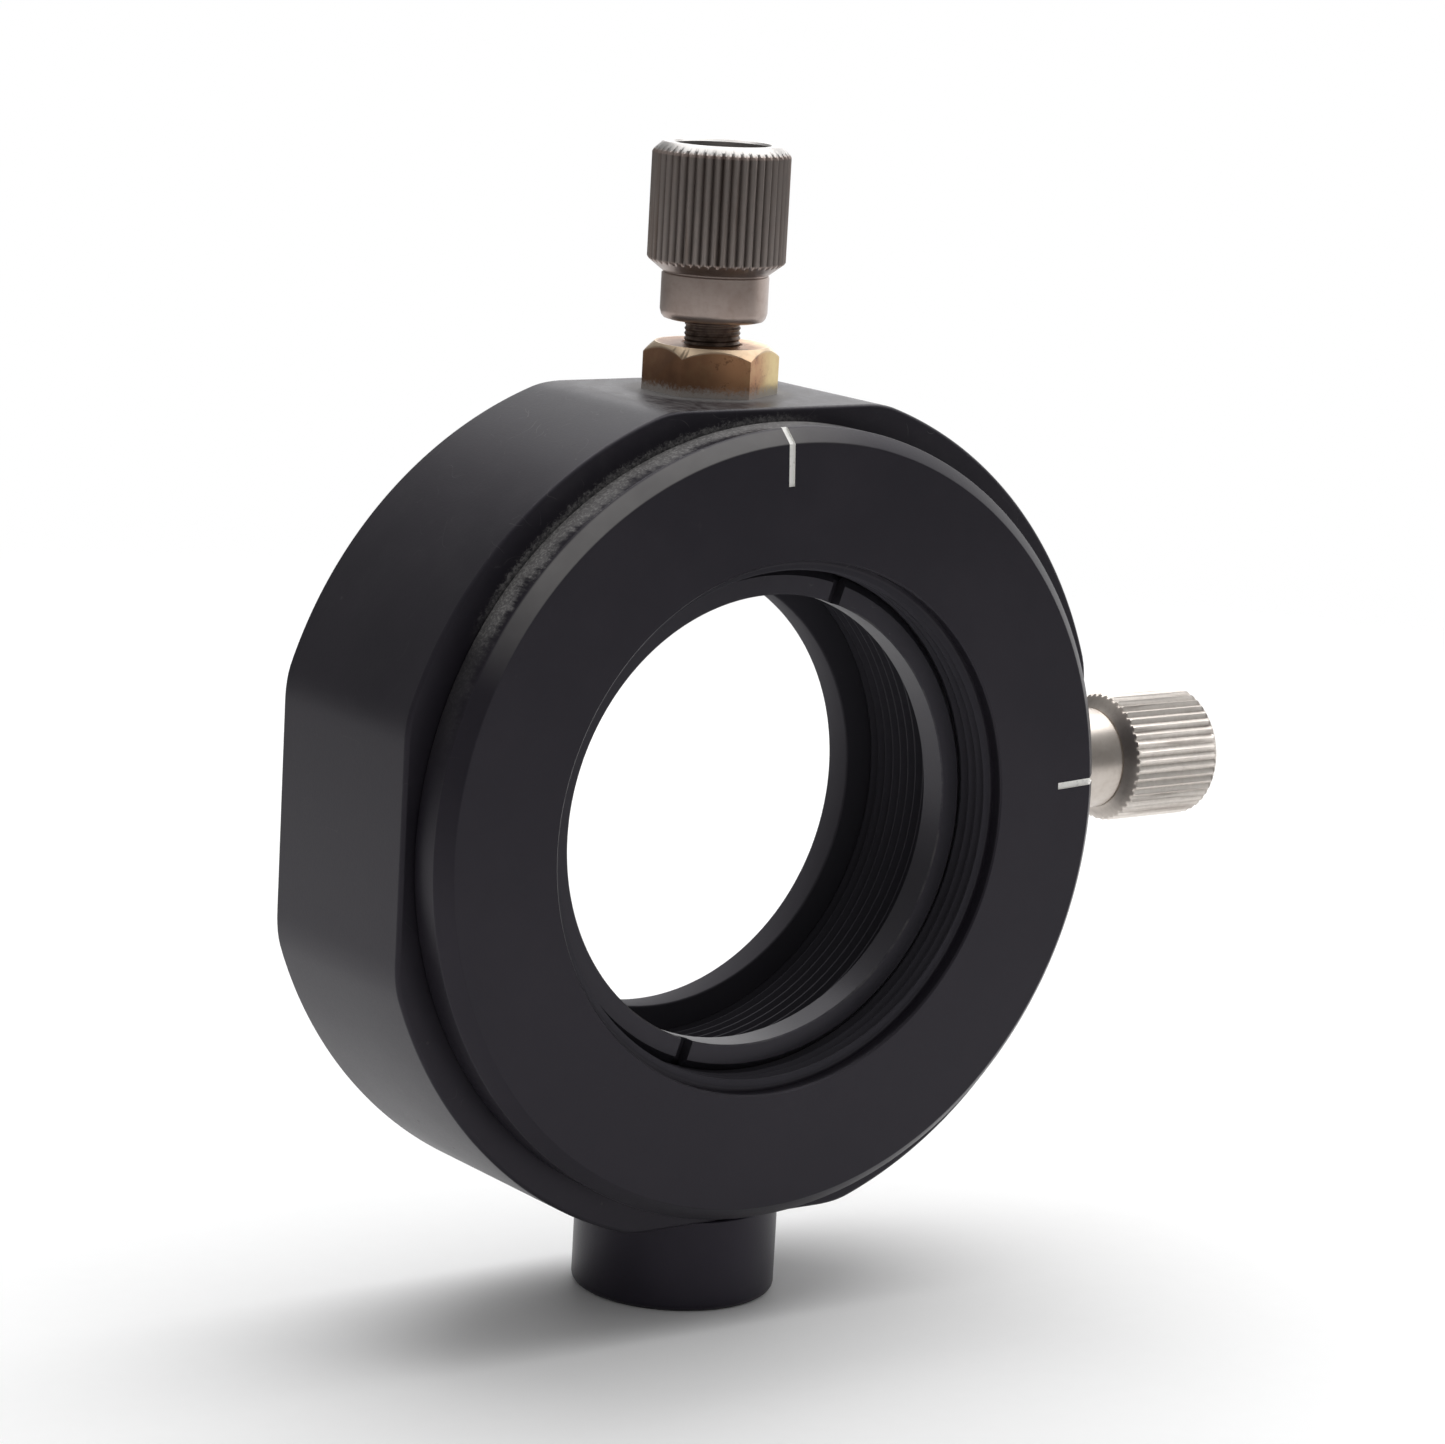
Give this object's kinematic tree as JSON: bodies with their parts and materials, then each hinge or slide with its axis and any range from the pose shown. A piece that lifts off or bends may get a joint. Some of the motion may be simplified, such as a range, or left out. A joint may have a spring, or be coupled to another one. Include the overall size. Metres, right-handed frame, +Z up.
{
  "type": "optical lens mount",
  "caption": "Translating lens mount: a threaded cell for a round optic slides in a round housing with flats, moved by knurled adjuster knobs, and stands on a tapped post adapter.",
  "frame": {"origin": "mouth of the post adapter's tapped hole, at the middle of the adapter's flat end", "axes": "+Z up along the post's axis, -Y out of the front along the optical axis, +X towards the side knob"},
  "size_m": [0.0535, 0.014, 0.0583],
  "materials": {
    "housing_black": "black anodised, satin, with fine dust and lint",
    "adapter_black": "black anodised, satin",
    "cell_black": "black anodised, fine satin",
    "ring_black": "black anodised, satin, edges worn lighter",
    "keeper_steel": "turned steel",
    "spring_steel": "drawn spring steel",
    "guide_brass": "turned brass",
    "bushing_brass": "tarnished brass with brown staining",
    "screw_steel": "dark oiled steel",
    "knob_steel": "turned and knurled stainless steel",
    "ball_steel": "polished hardened steel"
  },
  "bodies": {
    "frame": {"housing": "housing_black", "rear_cover": "housing_black", "post_adapter": "adapter_black", "top_bushing": "bushing_brass", "side_bushing": "bushing_brass", "bottom_spring": "spring_steel", "left_spring": "spring_steel"},
    "cross_slide": {"guide_ring": "guide_brass"},
    "cell": {"lens_cell": "cell_black", "keeper_ring": "keeper_steel", "wave_spring": "spring_steel", "top_pad": "ball_steel", "side_pad": "ball_steel"},
    "lens_ring": {"retaining_ring": "ring_black"},
    "top_tip": {"top_ball": "ball_steel", "bottom_plunger": "guide_brass"},
    "top_adjuster": {"top_screw": "screw_steel", "top_knob": "knob_steel"},
    "side_tip": {"side_ball": "ball_steel"},
    "side_adjuster": {"side_screw": "screw_steel", "side_knob": "knob_steel"},
    "left_push": {"left_plunger": "guide_brass"}
  },
  "joints": [
    {"name": "cross_travel", "type": "slide", "parent": "frame", "child": "cross_slide", "axis": [1, 0, 0], "range_m": [-0.001, 0.001]},
    {"name": "top_advance", "type": "slide", "parent": "frame", "child": "top_tip", "axis": [0, 0, 1], "range_m": [-0.001, 0.001], "deforming": ["bottom_spring"]},
    {"name": "cell_cross", "type": "slide", "parent": "top_tip", "child": "cell", "axis": [1, 0, 0], "range_m": [-0.001, 0.001]},
    {"name": "ring_travel", "type": "slide", "parent": "cell", "child": "lens_ring", "axis": [0, 1, 0], "range_m": [-0.0022, 0.0065]},
    {"name": "top_turn", "type": "hinge", "parent": "top_tip", "child": "top_adjuster", "pos_m": [0, 0.00095, 0.055], "axis": [0, 0, 1], "range_deg": [-1440, 1440]},
    {"name": "side_advance", "type": "slide", "parent": "frame", "child": "side_tip", "axis": [1, 0, 0], "range_m": [-0.001, 0.001]},
    {"name": "side_turn", "type": "hinge", "parent": "side_tip", "child": "side_adjuster", "pos_m": [0.0296, 0.00095, 0.0254], "axis": [1, 0, 0], "range_deg": [-1440, 1440]},
    {"name": "left_advance", "type": "slide", "parent": "frame", "child": "left_push", "axis": [1, 0, 0], "range_m": [-0.001, 0.001], "deforming": ["left_spring"]}
  ],
  "couplings": [
    {"joint": "top_turn", "follows": "top_advance", "rad_per_m": 25133},
    {"joint": "side_turn", "follows": "side_advance", "rad_per_m": 25133},
    {"joint": "cross_travel", "follows": "side_advance", "ratio": 1},
    {"joint": "left_advance", "follows": "side_advance", "ratio": 1},
    {"joint": "cell_cross", "follows": "side_advance", "ratio": 1}
  ]
}
